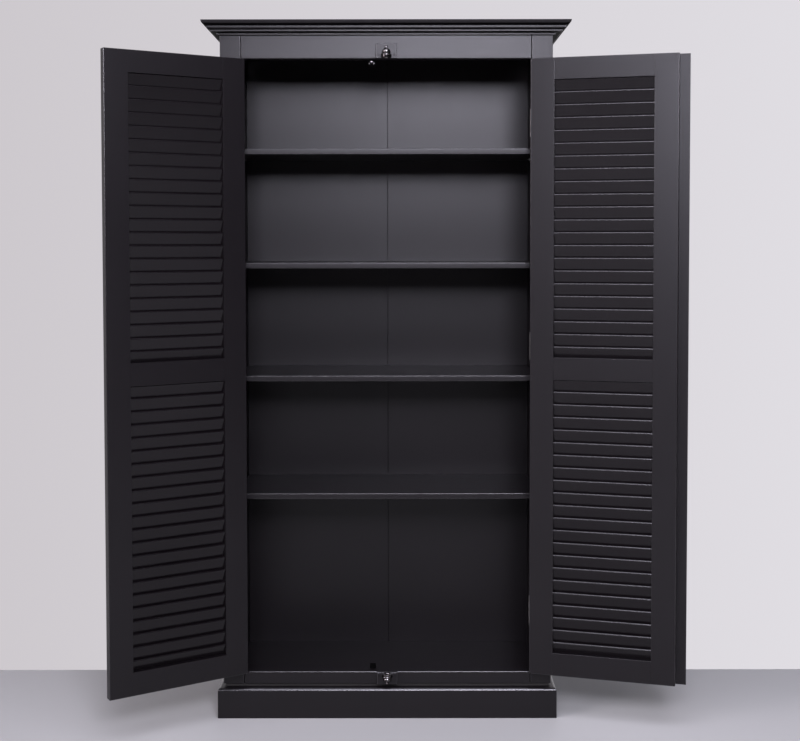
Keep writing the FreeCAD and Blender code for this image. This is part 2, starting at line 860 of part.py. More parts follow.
def door_stop(edge_z, up, far_z):
    """A block behind a rail, with a round boss that the left door's back edge meets."""
    half = stop_width / 2
    near_z = edge_z - up * stop_reach
    block = box(stop_x - half, stop_x + half, frame_back_y, frame_back_y + stop_t, near_z, far_z)
    boss_y = door_back_y + stop_door_gap
    boss_foot = V(stop_x, boss_y, near_z + up * stop_reach / 2)
    boss = rod(stop_boss_d, frame_back_y - boss_y, boss_foot, V(0, 1, 0))
    return block.fuse(boss)


def keepers_and_stops():
    save("keeper_block_top", keeper_block(opening_top, opening_top + block_top_h))
    save("keeper_block_bottom", keeper_block(base_height, opening_bottom))
    upper = keeper(opening_top, 1, keeper_top_h)
    lower = keeper(opening_bottom, -1, keeper_bottom_h)
    save("keepers", group([upper, lower]))
    upper = door_stop(opening_top, 1, opening_top + stop_behind_rail)
    lower = door_stop(opening_bottom, -1, floor_top)
    save("door_stops", group([upper, lower]))


def main():
    base()
    frames()
    carcass()
    cornice()
    louvred_door(-1, "left", open_left)
    louvred_door(1, "right", open_right)
    hinges()
    bolt()
    keepers_and_stops()


main()
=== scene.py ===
import bpy
import bmesh
import math
import numpy as np
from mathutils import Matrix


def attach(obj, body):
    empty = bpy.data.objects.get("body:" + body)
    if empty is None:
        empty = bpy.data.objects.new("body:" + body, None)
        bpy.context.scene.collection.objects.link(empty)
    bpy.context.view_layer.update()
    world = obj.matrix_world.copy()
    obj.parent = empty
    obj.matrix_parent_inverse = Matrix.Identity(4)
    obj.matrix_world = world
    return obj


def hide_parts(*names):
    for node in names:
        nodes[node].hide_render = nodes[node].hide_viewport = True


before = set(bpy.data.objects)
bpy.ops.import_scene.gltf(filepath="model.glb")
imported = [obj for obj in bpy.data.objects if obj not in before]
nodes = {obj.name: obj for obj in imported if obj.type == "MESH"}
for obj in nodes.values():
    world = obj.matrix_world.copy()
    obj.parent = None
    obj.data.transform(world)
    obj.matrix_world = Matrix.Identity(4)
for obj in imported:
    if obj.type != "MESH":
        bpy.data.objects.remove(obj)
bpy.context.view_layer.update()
mm = 0.001

# sizes that several pieces share, in millimetres, as the solids have them
carcass = {
    "halfW": 450.0, "faceY": -177.5, "rearY": 177.5, "frameBackY": -153.5, "openHalf": 394.0,
    "wallOuter": 432.0, "wallInner": 414.0, "legEndY": -103.5, "sideStileY": 117.5,
    "baseTop": 92.0, "floorTop": 110.0, "bodyTop": 1890.0, "openBottom": 126.0, "openTop": 1801.0,
}
doorSet = {
    "edge": 392.0, "meeting": 1.5, "backY": -155.5, "bottom": 130.0, "top": 1798.0, "stileW": 64.0,
    "hingeX": 393.0, "hingeY": -183.0,
    "opened": {-1: -147.9, 1: 164.6}, "names": {-1: "left", 1: "right"},
    "rails": {"bottom": (130.0, 192.0), "middle": (936.0, 996.0), "top": (1740.0, 1798.0)},
    "panels": {"lower": 192.0, "upper": 996.0}, "panelHeight": 744.0,
}


# a closed profile of n points at m stations is an m by n grid:
# quads between neighbours, and a flat cap at each end
def carried(stations):
    stations = np.asarray(stations, float)
    m, n = stations.shape[:2]
    rows = np.arange(m - 1)[:, None] * n
    cols = np.arange(n)[None, :]
    onward = (cols + 1) % n
    quads = np.stack([rows + cols, rows + onward, rows + onward + n, rows + cols + n], -1).reshape(-1, 4)
    caps = [list(range(n))[::-1], list(range((m - 1) * n, m * n))]
    return stations.reshape(-1, 3), quads.tolist() + caps


# an (x, y) outline carried straight up
def upright(plan, z0, z1):
    plan = np.asarray(plan, float)
    return carried([np.column_stack([plan, np.full(len(plan), z)]) for z in (z0, z1)])


# a (y, z) outline carried straight along x
def level(section, x0, x1):
    section = np.asarray(section, float)
    return carried([np.column_stack([np.full(len(section), x), section]) for x in (x0, x1)])


def board(x0, x1, y0, y1, z0, z1):
    return upright([(x0, y0), (x1, y0), (x1, y1), (x0, y1)], z0, z1)


# a quarter circle of the radius round each corner's centre
def roundedOutline(halfA, halfB, radius, steps):
    quarter = np.linspace(0, np.pi / 2, steps + 1)
    turn = (np.arange(4)[:, None] * np.pi / 2 + quarter).ravel()
    cornerA = np.repeat([1, -1, -1, 1], steps + 1) * (halfA - radius)
    cornerB = np.repeat([1, 1, -1, -1], steps + 1) * (halfB - radius)
    return np.stack([cornerA + radius * np.cos(turn), cornerB + radius * np.sin(turn)], -1)


# point = base + h * axis + r * (cos t * a + sin t * b), with a and b square to the axis
def turned(outline, base, axis, sides, start=0.0):
    radii, heights = np.asarray(outline, float).T
    axis = np.asarray(axis, float)
    a = np.array([0.0, 1.0, 0.0]) if abs(axis[2]) > 0.5 else np.array([0.0, 0.0, 1.0])
    b = np.cross(axis, a)
    t = start + np.arange(sides) * 2 * np.pi / sides
    ring = np.cos(t)[:, None] * a + np.sin(t)[:, None] * b
    stations = np.asarray(base, float) + heights[:, None, None] * axis + radii[:, None, None] * ring[None]
    return carried(stations)


# points along an arc of a circle in (r, h)
def arc(centre, radius, fromDeg, toDeg, count):
    t = np.radians(np.linspace(fromDeg, toDeg, count))
    return np.stack([centre[0] + radius * np.cos(t), centre[1] + radius * np.sin(t)], -1).tolist()


# the rounding at the foot of a turned outline, from its underside to its side
def footRounding(radius, rounding, count=4):
    return arc((radius - rounding, rounding), rounding, -90, 0, count)


# a turn about a door's hinge line: x' = c dx - s dy, y' = s dx + c dy
def swung(points, side):
    turn = math.radians(doorSet["opened"][side])
    c, s = math.cos(turn), math.sin(turn)
    centre = np.array([side * doorSet["hingeX"], doorSet["hingeY"], 0])
    d = points - centre
    return centre + np.column_stack([c * d[:, 0] - s * d[:, 1], s * d[:, 0] + c * d[:, 1], d[:, 2]])


# a mesh's data as an array, one row for each of its elements
def meshRows(elements, key, width, kind=float):
    rows = np.empty(len(elements) * width, kind)
    elements.foreach_get(key, rows)
    return rows.reshape(-1, width)


meshSet = {"weld": 1e-6, "bevelFrom": 30.0}


# arris gives the share of the bevel that each edge gets, from the edges' middles in millimetres,
# and paintedLightPick gives the number of each face's finish, from the faces' normals: painted highlight or
# painted shade
def makePiece(name, shells, body, finishes, replaced=(), bevel=0, segments=2, side=0, sharp=32,
              arris=None, paintedLightPick=None, flat=True):
    points = np.concatenate([shell[0] for shell in shells])
    starts = np.cumsum([0] + [len(shell[0]) for shell in shells])
    faces = [[i + start for i in face] for shell, start in zip(shells, starts) for face in shell[1]]
    mesh = bpy.data.meshes.new(name)
    mesh.from_pydata((points * mm).tolist(), [], faces)
    work = bmesh.new()
    work.from_mesh(mesh)
    bmesh.ops.remove_doubles(work, verts=work.verts, dist=meshSet["weld"])
    bmesh.ops.recalc_face_normals(work, faces=work.faces)
    work.to_mesh(mesh)
    work.free()
    places = meshRows(mesh.vertices, "co", 3) / mm
    if arris:
        shares = arris(places[meshRows(mesh.edges, "vertices", 2, np.int32)].mean(1))
        weights = mesh.attributes.new("bevel_weight_edge", "FLOAT", "EDGE")
        weights.data.foreach_set("value", shares.astype(np.float32))
        creases = mesh.attributes.new("sharp_edge", "BOOLEAN", "EDGE")
        creases.data.foreach_set("value", shares == 0)
    mesh.polygons.foreach_set("use_smooth", np.ones(len(mesh.polygons), bool))
    for finish in finishes:
        mesh.materials.append(finish)
    if paintedLightPick:
        picked = paintedLightPick(meshRows(mesh.polygons, "normal", 3))
        mesh.polygons.foreach_set("material_index", picked.astype(np.int32))
    if side:
        mesh.vertices.foreach_set("co", (swung(places, side) * mm).ravel())
    piece = bpy.data.objects.new(name, mesh)
    bpy.context.scene.collection.objects.link(piece)
    if bevel:
        eased = piece.modifiers.new("arris", "BEVEL")
        eased.width = bevel * mm
        eased.segments = segments
        eased.limit_method = "WEIGHT" if arris else "ANGLE"
        eased.angle_limit = math.radians(meshSet["bevelFrom"])
        # the bevel's faces take the second finish, on painted pieces the lighter, glossier paint: a painted
        # highlight along the arrises
        eased.material = 1 if len(finishes) > 1 else -1
    else:
        mesh.set_sharp_from_angle(angle=math.radians(sharp))
    if flat:  # broad faces keep their own normals
        piece.modifiers.new("flat", "WEIGHTED_NORMAL").keep_sharp = True
    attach(piece, body)
    if replaced:
        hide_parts(*replaced)


# finishes
def newFinish(name):
    finish = bpy.data.materials.new(name)
    finish.use_nodes = True
    tree = finish.node_tree
    return finish, tree, tree.nodes["Principled BSDF"]


def addNode(tree, kind, inputs=None, **settings):
    node = tree.nodes.new(kind)
    for key, value in settings.items():
        setattr(node, key, value)
    for key, value in (inputs or {}).items():
        if isinstance(value, bpy.types.NodeSocket):
            tree.links.new(value, node.inputs[key])
        else:
            node.inputs[key].default_value = value
    return node


def placeAt(tree, scale=(1, 1, 1)):
    coords = addNode(tree, "ShaderNodeTexCoord").outputs["Object"]
    return addNode(tree, "ShaderNodeMapping", {"Vector": coords, "Scale": scale}).outputs["Vector"]


def noiseAt(tree, place, scale, detail, rough=0.5):
    inputs = {"Vector": place, "Scale": scale, "Detail": detail, "Roughness": rough}
    return addNode(tree, "ShaderNodeTexNoise", inputs).outputs["Fac"]


# noise lies mostly between 0.3 and 0.7
def ranged(tree, value, low, high, fromLow=0.3, fromHigh=0.7):
    inputs = {"Value": value, "From Min": fromLow, "From Max": fromHigh, "To Min": low, "To Max": high}
    return addNode(tree, "ShaderNodeMapRange", inputs).outputs["Result"]


def maths(tree, operation, first, second):
    return addNode(tree, "ShaderNodeMath", {0: first, 1: second}, operation=operation).outputs[0]


def partOf(tree, place, axis):
    return addNode(tree, "ShaderNodeSeparateXYZ", {0: place}).outputs[axis]


def blended(tree, share, first, second):
    mix = addNode(tree, "ShaderNodeMix", {"Factor": share}, data_type="RGBA")
    for socket, colour in ((6, first), (7, second)):  # the colour sockets
        mix.inputs[socket].default_value = (*colour, 1)
    return mix.outputs[2]


bumpDeep = {"stipple": 0.0002, "strokes": 0.0004, "rub": 0.0001}


# satin paint: a slow drift of the tone, brush lines drawn out along the board and a fine stipple
def paintFinish(name, spec):
    finish, tree, shader = newFinish(name)
    place = placeAt(tree)
    drift = ranged(tree, noiseAt(tree, place, spec["driftScale"], detail=4), 0, 1)
    strokes = noiseAt(tree, placeAt(tree, spec["strokes"]), 1, detail=5, rough=0.6)
    stipple = noiseAt(tree, place, spec["stipple"], detail=2)
    fine = addNode(tree, "ShaderNodeBump", {"Height": stipple, "Strength": spec["stippleBump"],
                                            "Distance": bumpDeep["stipple"]})
    broad = addNode(tree, "ShaderNodeBump", {"Height": strokes, "Strength": spec["strokeBump"],
                                             "Distance": bumpDeep["strokes"],
                                             "Normal": fine.outputs["Normal"]})
    tree.links.new(blended(tree, drift, spec["dark"], spec["light"]), shader.inputs["Base Color"])
    tree.links.new(ranged(tree, strokes, *spec["rough"]), shader.inputs["Roughness"])
    tree.links.new(broad.outputs["Normal"], shader.inputs["Normal"])
    shader.inputs["Specular IOR Level"].default_value = spec["gloss"]
    return finish


# plated metal: rubbing lines and a slow change of polish
def metalFinish(name, spec):
    finish, tree, shader = newFinish(name)
    haze = ranged(tree, noiseAt(tree, placeAt(tree), spec["hazeScale"], detail=3), 0, 1)
    rub = noiseAt(tree, placeAt(tree, spec["rub"]), 1, detail=4)
    lines = addNode(tree, "ShaderNodeBump", {"Height": rub, "Strength": spec["rubBump"],
                                             "Distance": bumpDeep["rub"]})
    tree.links.new(blended(tree, haze, spec["dark"], spec["light"]), shader.inputs["Base Color"])
    tree.links.new(ranged(tree, rub, *spec["rough"]), shader.inputs["Roughness"])
    tree.links.new(lines.outputs["Normal"], shader.inputs["Normal"])
    shader.inputs["Metallic"].default_value = 1.0
    return finish


blackPaint = {
    "dark": (0.0041, 0.0029, 0.0038), "light": (0.0051, 0.0037, 0.0048), "driftScale": 5.0,
    "strokes": (700, 700, 9), "stipple": 900.0, "rough": (0.37, 0.43), "stippleBump": 0.12,
    "strokeBump": 0.04, "gloss": 0.35,
}
acrossPaint = {**blackPaint, "strokes": (9, 700, 700), "strokeBump": 0.08}
paintUp = paintFinish("paintUpright", blackPaint)
paintAcross = paintFinish("paintAcross", acrossPaint)
paintFrieze = paintFinish("paintFrieze", {**acrossPaint, "gloss": 0.405})
paintPanel = paintFinish("paintPanel", {
    **blackPaint, "rough": (0.335, 0.385), "strokeBump": 0.03, "gloss": 0.325})
paintWall = paintFinish("paintWall", {
    **blackPaint, "rough": (0.5, 0.6), "strokeBump": 0.03, "gloss": 0.2})
paintSlat = paintFinish("paintSlat", {
    **blackPaint, "dark": (0.0053, 0.0041, 0.0049), "light": (0.0067, 0.0053, 0.0062),
    "strokes": (14, 14, 320), "rough": (0.20, 0.26), "gloss": 0.30})
# a lighter, glossier paint for arrises, up-turned faces and the right door's slat noses: painted highlight
# where edges catch the light
paintArrisHighlight = paintFinish("paintArrisHighlight", {
    **blackPaint, "dark": (0.005, 0.004, 0.005), "light": (0.009, 0.0075, 0.009),
    "driftScale": 40.0, "rough": (0.22, 0.30), "gloss": 0.8})
# a darker, duller paint for faces that look down: painted shade
paintUnderShade = paintFinish("paintUnderShade", {
    **blackPaint, "dark": (0.0012, 0.001, 0.0012), "light": (0.002, 0.0016, 0.002),
    "rough": (0.6, 0.7), "gloss": 0.04})
primedWood = paintFinish("primedWood", {
    **blackPaint, "dark": (0.022, 0.021, 0.020), "light": (0.034, 0.032, 0.030),
    "strokes": (14, 14, 420), "rough": (0.6, 0.75), "strokeBump": 0.35})
rubber = paintFinish("stopRubber", {
    **blackPaint, "dark": (0.0015, 0.0014, 0.0015), "light": (0.003, 0.0028, 0.003),
    "rough": (0.7, 0.85), "stippleBump": 0.3, "gloss": 0.03})
# a near-black finish for the spare holes' discs: painted shade
holeShade = paintFinish("holeShadeDisc", {
    **blackPaint, "dark": (0.002, 0.002, 0.002), "light": (0.004, 0.004, 0.004), "rough": (0.9, 0.95)})
nickel = metalFinish("nickelPlate", {
    "dark": (0.50, 0.49, 0.47), "light": (0.62, 0.61, 0.59), "hazeScale": 60.0,
    "rub": (900, 900, 60), "rough": (0.36, 0.48), "rubBump": 0.08})
polished = metalFinish("polishedNickel", {
    "dark": (0.24, 0.23, 0.23), "light": (0.30, 0.29, 0.29), "hazeScale": 90.0,
    "rub": (200, 200, 1400), "rough": (0.06, 0.10), "rubBump": 0.015})
# a darker nickel for the keepers' faces turned down: painted shade that keeps their bodies dark
shadedNickel = metalFinish("nickelShadeFinish", {
    "dark": (0.08, 0.072, 0.072), "light": (0.12, 0.108, 0.108), "hazeScale": 90.0,
    "rub": (200, 200, 1400), "rough": (0.08, 0.14), "rubBump": 0.015})
satinNickel = metalFinish("satinNickel", {
    "dark": (0.44, 0.43, 0.42), "light": (0.56, 0.55, 0.53), "hazeScale": 50.0,
    "rub": (700, 700, 40), "rough": (0.30, 0.42), "rubBump": 0.10})
print("finishes:", len(bpy.data.materials))


# solids whose shape is right keep it and take these finishes
kept = {
    "base_front_rail": primedWood, "base_back_rail": primedWood, "base_side_rail_left": primedWood,
    "base_side_rail_right": primedWood, "base_centre_bearer": primedWood,
    "carcass_wall_left": paintWall, "carcass_wall_right": paintWall, "floor_panel": paintAcross,
    "top_panel": paintAcross, "back_board_left": paintPanel, "back_board_right": paintPanel,
    "upper_rod": satinNickel, "lower_rod": satinNickel, "bolt_pinion": satinNickel,
}
for name, finish in kept.items():
    nodes[name].data.materials.clear()
    nodes[name].data.materials.append(finish)
print("kept solids:", len(kept))

# painted pieces take the lighter, glossier paint on their bevelled arrises as a painted highlight
painted = [paintUp, paintArrisHighlight]
paintedAcross = [paintAcross, paintArrisHighlight]
leaning = {"up": (0.1, 0.98), "down": -0.6, "nose": (-0.1, 0.25)}


# faces that turn up from a board's front take the second finish, a painted highlight where light from above
# catches them
def upperArris(normals):
    low, high = leaning["up"]
    return (normals[:, 2] > low) & (normals[:, 2] < high)


# faces that look down take the third finish, a darker, duller paint: painted shade under the cornice's
# members
def underside(normals):
    return 2 * (normals[:, 2] < leaning["down"])


# a slat's upper nose on the side that is seen takes the second finish, on the right door a painted highlight
def slatNose(normals):
    up, inward = leaning["nose"]
    return (normals[:, 2] > up) & (normals[:, 1] > inward)


# mouldings: the cornice's points are shares of its projection and height, and four numbers
# are an arc's end and the point at its middle
moulding = {
    "cornice": {"projection": 45.0, "height": 36.0, "foot": 1864.0, "arcSteps": 7, "bevel": 0.4, "section": [
        (0, 0), (0.111, 0), (0.144, 0.033, 0.134, 0.010), (0.144, 0.145), (0.178, 0.180), (0.500, 0.207),
        (0.522, 0.230), (0.522, 0.345), (0.545, 0.345), (0.700, 0.478, 0.655, 0.384), (0.722, 0.478),
        (0.722, 0.600), (0.678, 0.600), (0.678, 0.634), (0.767, 0.634), (1, 0.978, 0.927, 0.758), (1, 1),
        (0, 1)]},
    "plinth": {"projection": 15.0, "height": 84.0, "inset": 6.0, "round": 10.0, "arcSteps": 8, "bevel": 0.8},
}


# three points fix each arc's circle, whose turn then runs evenly from the first to the last
def arcThrough(first, middle, last, count):
    (ax, ay), (bx, by), (cx, cy) = first, middle, last
    d = 2 * (ax * (by - cy) + bx * (cy - ay) + cx * (ay - by))
    a2, b2, c2 = ax * ax + ay * ay, bx * bx + by * by, cx * cx + cy * cy
    centre = np.array([a2 * (by - cy) + b2 * (cy - ay) + c2 * (ay - by),
                       a2 * (cx - bx) + b2 * (ax - cx) + c2 * (bx - ax)]) / d
    turns = np.unwrap([math.atan2(y - centre[1], x - centre[0]) for x, y in (first, middle, last)])
    t = np.linspace(turns[0], turns[2], count)[1:]
    radius = math.hypot(ax - centre[0], ay - centre[1])
    return (centre + radius * np.column_stack([np.cos(t), np.sin(t)])).tolist()


def corniceOutline(spec):
    size = np.array([spec["projection"], spec["height"]])
    points = []
    for entry in spec["section"]:
        place = (np.array(entry[:2]) * size).tolist()
        if len(entry) == 2:
            points.append(place)
        else:
            middle = (np.array(entry[2:]) * size).tolist()
            points += arcThrough(points[-1], middle, place, spec["arcSteps"])
    return np.array(points) + [0, spec["foot"]]


def plinthOutline(spec):
    r, p, h, inset = spec["round"], spec["projection"], spec["height"], spec["inset"]
    rounded = arc((p - r, h - r), r, 0, 90, spec["arcSteps"] + 1)
    return np.array([(-inset, 0), (p, 0)] + rounded + [(-inset, h)])


# the outline at the two ends of a length: mitred at the front's corners, square at the rear
def mouldingLength(outline, side):
    p, z = outline.T
    halfW, faceY, rearY = carcass["halfW"], carcass["faceY"], carcass["rearY"]
    if side == 0:
        ends = [np.column_stack([s * (halfW + p), faceY - p, z]) for s in (-1, 1)]
    else:
        ends = [np.column_stack([side * (halfW + p), y, z]) for y in (faceY - p, np.full(len(p), rearY))]
    return carried(ends)


def mouldings(spec):
    cornice, plinth = corniceOutline(spec["cornice"]), plinthOutline(spec["plinth"])
    for side, name in ((0, "front"), (-1, "left"), (1, "right")):
        # the cornice's faces looking down take painted shade, and its arrises and the plinth's rounded top a
        # painted highlight
        makePiece("corniceMoulding." + name, [mouldingLength(cornice, side)], "cabinet",
                  [*paintedAcross, paintUnderShade], ["cornice_" + name],
                  spec["cornice"]["bevel"], paintedLightPick=underside)
        makePiece("plinthBoard." + name, [mouldingLength(plinth, side)], "cabinet",
                  paintedAcross, ["plinth_" + name],
                  spec["plinth"]["bevel"], paintedLightPick=upperArris)


mouldings(moulding)
print("mouldings: cornice and plinth")


# face frame and side frames
frameSet = {
    "bevel": 1.2, "railBevel": 0.8, "railArris": 3.0, "arrisSteps": 5, "railGap": 2.0,
    "sideRails": {"top": (1801.0, 1890.0), "bottom": (92.0, 180.0)},
    "rails": {"frieze": (carcass["openTop"], carcass["bodyTop"], 1, paintFrieze),
              "bottom": (carcass["openBottom"], carcass["baseTop"], -1, paintAcross)},
}


def faceFrame(spec):
    c = carcass
    for side, name in doorSet["names"].items():
        plan = [(c["openHalf"], c["faceY"]), (c["halfW"], c["faceY"]), (c["halfW"], c["legEndY"]),
                (c["wallOuter"], c["legEndY"]), (c["wallOuter"], c["frameBackY"]),
                (c["openHalf"], c["frameBackY"])]
        post = upright([(side * x, y) for x, y in plan], c["baseTop"], c["bodyTop"])
        makePiece("cornerPost." + name, [post], "cabinet", painted,
                  ["corner_post_" + name], spec["bevel"])
        inner, outer = side * c["wallOuter"], side * c["halfW"]
        stile = board(inner, outer, c["sideStileY"], c["rearY"], c["baseTop"], c["bodyTop"])
        makePiece("sideStile." + name, [stile], "cabinet", painted,
                  ["side_rear_stile_" + name], spec["bevel"])
        for rail, (z0, z1) in spec["sideRails"].items():
            length = board(inner, outer, c["legEndY"], c["sideStileY"], z0, z1)
            makePiece("sideRail." + rail + "." + name, [length], "cabinet", paintedAcross,
                      ["side_" + rail + "_rail_" + name], spec["bevel"])
    arris = spec["railArris"]
    for name, (eased, far, way, finish) in spec["rails"].items():
        section = [(c["faceY"], far), (c["frameBackY"], far), (c["frameBackY"], eased)]
        section += [(c["faceY"] + arris * (1 - math.sin(t)), eased + way * arris * (1 - math.cos(t)))
                    for t in np.linspace(0, np.pi / 2, spec["arrisSteps"])]
        rail = level(section, spec["railGap"] - c["openHalf"], c["openHalf"] - spec["railGap"])
        # the rails' faces that turn up take the lighter, glossier paint: a painted highlight
        makePiece(name + "Rail", [rail], "cabinet", [finish, paintArrisHighlight], [name + "_rail"],
                  spec["railBevel"], paintedLightPick=upperArris)


faceFrame(frameSet)
print("frames: posts, rails and side frames")


# shelves with eased front edges, their pins and the spare holes above them, the holes as shallow near-black
# discs: painted shade
shelfSet = {
    "frontY": -151.5, "backY": 134.5, "thick": 16.0, "bevel": 1.8, "looseGap": 1.0, "housed": 6.0,
    "tops": {"fixed_shelf_1": 613.932, "fixed_shelf_2": 939.902,
             "loose_shelf_1": 1250.3664, "loose_shelf_2": 1561.888},
    "pinColumns": (-117.5, 48.5), "pinR": 2.5, "pinReach": 8.0, "pinDeep": 9.0, "pinRound": 0.8,
    "pinSides": 20,
    "spareRise": (76.0, 152.0), "holeR": 2.6, "holeSides": 18,
    "holeRim": [(0, -0.02), (0.86, -0.02), (0.9, 0.1), (1.0, 0.12), (1.08, -0.1), (0, -0.1)],
}


def shelves(spec):
    inner = carcass["wallInner"]
    r, reach, e = spec["pinR"], spec["pinReach"], spec["pinRound"]
    pinOutline = [(0, 0)] + footRounding(r, e)
    pinOutline += [(r, reach + spec["pinDeep"]), (0, reach + spec["pinDeep"])]
    holeOutline = [(spec["holeR"] * share, h) for share, h in spec["holeRim"]]
    pins, holes = [], []
    for name, top in spec["tops"].items():
        loose = name.startswith("loose")
        end = inner - spec["looseGap"] if loose else inner + spec["housed"]
        back = spec["backY"] - spec["looseGap"] if loose else spec["backY"]
        shelf = board(-end, end, spec["frontY"], back, top - spec["thick"], top)
        makePiece("shelfBoard." + name, [shelf], "cabinet", paintedAcross, [name],
                  spec["bevel"])
        if not loose:
            continue
        z = top - spec["thick"] - r
        for y in spec["pinColumns"]:
            for side in (-1, 1):
                tip = (side * (inner - reach), y, z)
                pins.append(turned(pinOutline, tip, (side, 0, 0), spec["pinSides"]))
                for rise in spec["spareRise"]:
                    mouth = (side * inner, y, z + rise)
                    holes.append(turned(holeOutline, mouth, (-side, 0, 0), spec["holeSides"]))
    makePiece("shelfPins", pins, "cabinet", [satinNickel], ["shelf_pins"])
    makePiece("spareHoles", holes, "cabinet", [holeShade])


shelves(shelfSet)
print("shelves:", len(shelfSet["tops"]))


# louvred doors, drawn shut and swung open about the hinge lines
louvre = {
    "count": 22, "width": 44.0, "thick": 6.6, "tilt": 15.5, "nose": 3.2, "noseSteps": 3, "endTrim": 0.18,
    "groove": 2.4, "firstRise": 0.09, "housed": 6.6, "bevel": 1.6,
    # noseFinish: the right door's slat noses take the lighter, glossier paint as a painted highlight, the
    # left door's the plain slat paint
    "innerShare": {-1: 0.06, 1: 0.5}, "noseFinish": {-1: paintSlat, 1: paintArrisHighlight},
    "nearEdge": 10.0, "nearMiddle": 100.0, "nearEnds": 60.0, "nearRim": 800.0,
}


# slat n: the section (along, across) turned by the tilt, lowered n pitches and held between the rails
def slatPanel(spec, side, panelZ):
    d = doorSet
    tilt = math.radians(spec["tilt"])
    halfWide, halfThick = spec["width"] / 2, spec["thick"] / 2
    across, along = roundedOutline(halfThick, halfWide, spec["nose"], spec["noseSteps"]).T
    pitch = d["panelHeight"] / (spec["count"] - spec["endTrim"])
    top = panelZ + d["panelHeight"]
    drop = halfWide * math.cos(tilt) + halfThick * math.sin(tilt)
    y = (carcass["faceY"] + d["backY"]) / 2 + along * math.sin(tilt) + across * math.cos(tilt)
    z = along * math.cos(tilt) - across * math.sin(tilt)
    centres = top + spec["firstRise"] * pitch - drop - np.arange(spec["count"]) * pitch
    y = np.clip(y, carcass["faceY"], d["backY"])
    groove = spec["groove"] * np.clip(across / halfThick, 0, 1)
    z = np.clip(centres[:, None] + z, panelZ, top - groove)
    ends = (side * (d["edge"] - d["stileW"] + spec["housed"]),
            side * (d["meeting"] + d["stileW"] - spec["housed"]))
    return [level(np.column_stack([y, row]), *ends) for row in z]


def louvredDoor(spec, side):
    d = doorSet
    name = d["names"][side]
    body = name + "_door"
    faceY, backY = carcass["faceY"], d["backY"]
    hingeInner = d["edge"] - d["stileW"]
    meetingInner = d["meeting"] + d["stileW"]
    midX, midZ = (d["edge"] + d["meeting"]) / 2, (d["bottom"] + d["top"]) / 2
    innerShare = spec["innerShare"][side]

    # the long edges beside the slats are eased less than the outer ones
    def stileArris(middles):
        inside = np.abs(np.abs(middles[:, 0]) - d["edge"] / 2) < d["edge"] / 2 - spec["nearEdge"]
        return np.where(inside & (np.abs(middles[:, 2] - midZ) < spec["nearMiddle"]), innerShare, 1.0)

    # no easing where a rail meets the stiles, all of it along the door's top and bottom
    def railArris(middles):
        joints = np.abs(np.abs(middles[:, 0]) - midX) > spec["nearEnds"]
        outer = np.abs(middles[:, 2] - midZ) > spec["nearRim"]
        return np.where(joints, 0.0, np.where(outer, 1.0, innerShare))

    for part, (x0, x1) in {"hinge": (d["edge"], hingeInner), "meeting": (meetingInner, d["meeting"])}.items():
        stile = board(side * x0, side * x1, faceY, backY, d["bottom"], d["top"])
        makePiece(name + "Door." + part + "Stile", [stile], body, painted,
                  [name + "_door_" + part + "_stile"], spec["bevel"], side=side, arris=stileArris)
    for part, (z0, z1) in d["rails"].items():
        rail = board(side * hingeInner, side * meetingInner, faceY, backY, z0, z1)
        makePiece(name + "Door." + part + "Rail", [rail], body, paintedAcross,
                  [name + "_door_" + part + "_rail"], spec["bevel"], side=side, arris=railArris)
    for part, panelZ in d["panels"].items():
        makePiece(name + "Door." + part + "Slats", slatPanel(spec, side, panelZ), body,
                  [paintSlat, spec["noseFinish"][side]],
                  [name + "_door_" + part + "_slats"], side=side, paintedLightPick=slatNose)


for side in (-1, 1):
    louvredDoor(louvre, side)
print("doors: 2 with", 4 * louvre["count"], "slats")


# hinges: leaf, knuckle and pin, with countersunk screws
hingeSet = {
    "heights": (300.0, 1024.0, 1628.0), "tall": 76.0, "thick": 1.8, "deep": 18.0, "letIn": 1.2,
    "webLap": 0.5, "webGap": 0.2, "knuckleR": 5.0, "gap": 0.3, "round": 0.8, "knuckleSides": 28,
    "pinR": 2.5, "pinRise": (0.6, 1.0), "pinSides": 18,
    "screwRise": (-24.0, 24.0), "screwR": 3.2, "screwShare": 0.55,
}
screwSet = {"sides": 16, "section": [(0, -0.5), (1, -0.5), (1, 0.0), (0.92, 0.12), (0.45, 0.14), (0.4, -0.25),
                                     (0, -0.35)]}


# a countersunk head: a flat ring round a shallow socket, with radii as shares
def screwHead(centre, axis, radius):
    return turned([(radius * share, h) for share, h in screwSet["section"]], centre, axis, screwSet["sides"])


